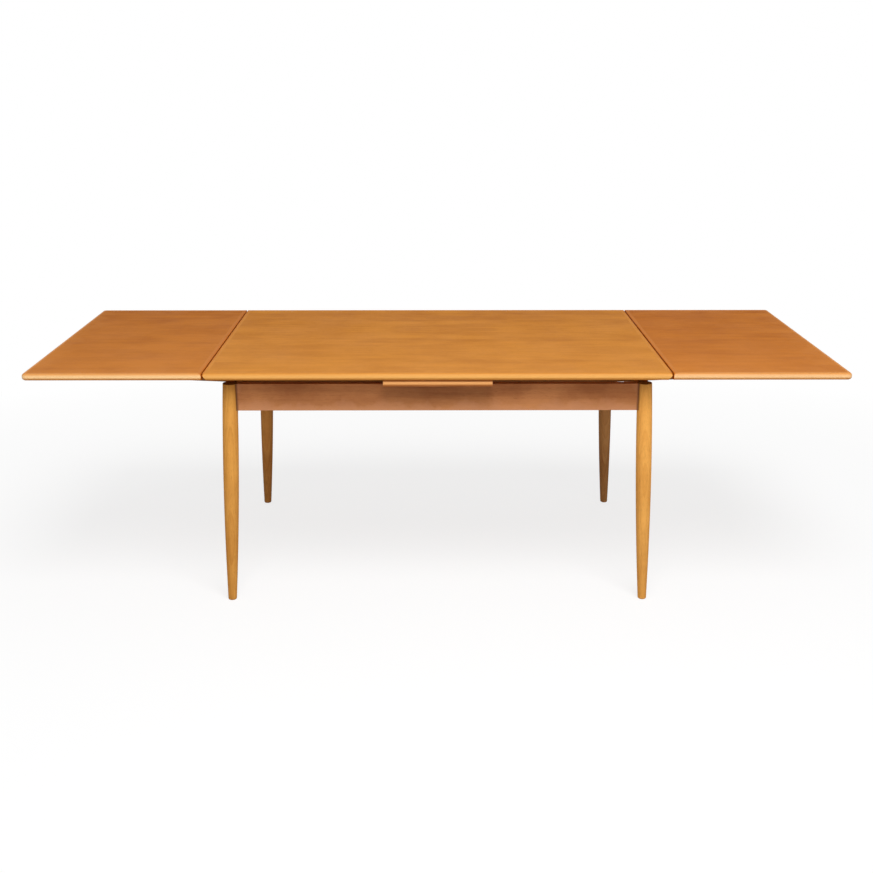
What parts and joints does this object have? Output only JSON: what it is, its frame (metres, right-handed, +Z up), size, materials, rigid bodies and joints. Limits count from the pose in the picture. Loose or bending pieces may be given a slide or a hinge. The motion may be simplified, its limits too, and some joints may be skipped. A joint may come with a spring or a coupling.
{
  "type": "draw leaf table",
  "caption": "Rectangular wooden dining table on slim round tapered legs, with a loose main top and end leaves that draw out on sloping bearers and lie flush with it.",
  "frame": {"origin": "on the floor, under the middle of the top", "axes": "+X along the table's length, +Y towards the back, +Z up"},
  "size_m": [2.373, 0.9, 0.72],
  "materials": {
    "main_top_veneer": "satin oiled teak veneer, golden, grain along X",
    "leaf_veneer": "satin oiled teak veneer, redder, grain along X",
    "lippings": "solid teak edging, satin oiled",
    "centre_board_veneer": "satin teak veneer",
    "legs": "turned solid wood, satin oiled",
    "aprons": "satin teak",
    "inner_frame": "plain planed hardwood",
    "lopers": "plain planed beech",
    "dowels": "plain turned beech",
    "screws": "zinc plated"
  },
  "bodies": {
    "frame": {"back_apron": "aprons", "back_left_corner_block": "inner_frame", "back_left_leg": "legs", "back_right_corner_block": "inner_frame", "back_right_leg": "legs", "centre_board_back_lipping": "lippings", "centre_board_front_lipping": "lippings", "centre_board_panel": "centre_board_veneer", "centre_board_screws": "screws", "corner_block_screws": "screws", "front_apron": "aprons", "front_left_corner_block": "inner_frame", "front_left_leg": "legs", "front_right_corner_block": "inner_frame", "front_right_leg": "legs", "left_cross_rail": "inner_frame", "left_end_apron": "aprons", "right_cross_rail": "inner_frame", "right_end_apron": "aprons"},
    "main_top": {"main_top_back_lipping": "lippings", "main_top_front_lipping": "lippings", "main_top_guide_pegs": "dowels", "main_top_left_lipping": "lippings", "main_top_panel": "main_top_veneer", "main_top_right_lipping": "lippings"},
    "left_leaf": {"left_leaf_back_lipping": "lippings", "left_leaf_back_loper": "lopers", "left_leaf_front_lipping": "lippings", "left_leaf_front_loper": "lopers", "left_leaf_inner_lipping": "lippings", "left_leaf_loper_screws": "screws", "left_leaf_outer_lipping": "lippings", "left_leaf_panel": "leaf_veneer", "left_leaf_stop_dowels": "dowels"},
    "right_leaf": {"right_leaf_back_lipping": "lippings", "right_leaf_back_loper": "lopers", "right_leaf_front_lipping": "lippings", "right_leaf_front_loper": "lopers", "right_leaf_inner_lipping": "lippings", "right_leaf_loper_screws": "screws", "right_leaf_outer_lipping": "lippings", "right_leaf_panel": "leaf_veneer", "right_leaf_stop_dowels": "dowels"}
  },
  "joints": [
    {"name": "top_lift_off", "type": "slide", "parent": "frame", "child": "main_top", "axis": [0, 0, 1], "range_m": [0, 0.75]},
    {"name": "left_leaf_draw", "type": "slide", "parent": "frame", "child": "left_leaf", "axis": [0.9992, 0, -0.0406], "range_m": [0, 0.51693]},
    {"name": "right_leaf_draw", "type": "slide", "parent": "frame", "child": "right_leaf", "axis": [-0.9992, 0, -0.0406], "range_m": [0, 0.51693]}
  ],
  "couplings": [
    {"joint": "left_leaf_draw", "follows": "top_lift_off", "ratio": 0.68924},
    {"joint": "right_leaf_draw", "follows": "top_lift_off", "ratio": 0.68924}
  ]
}
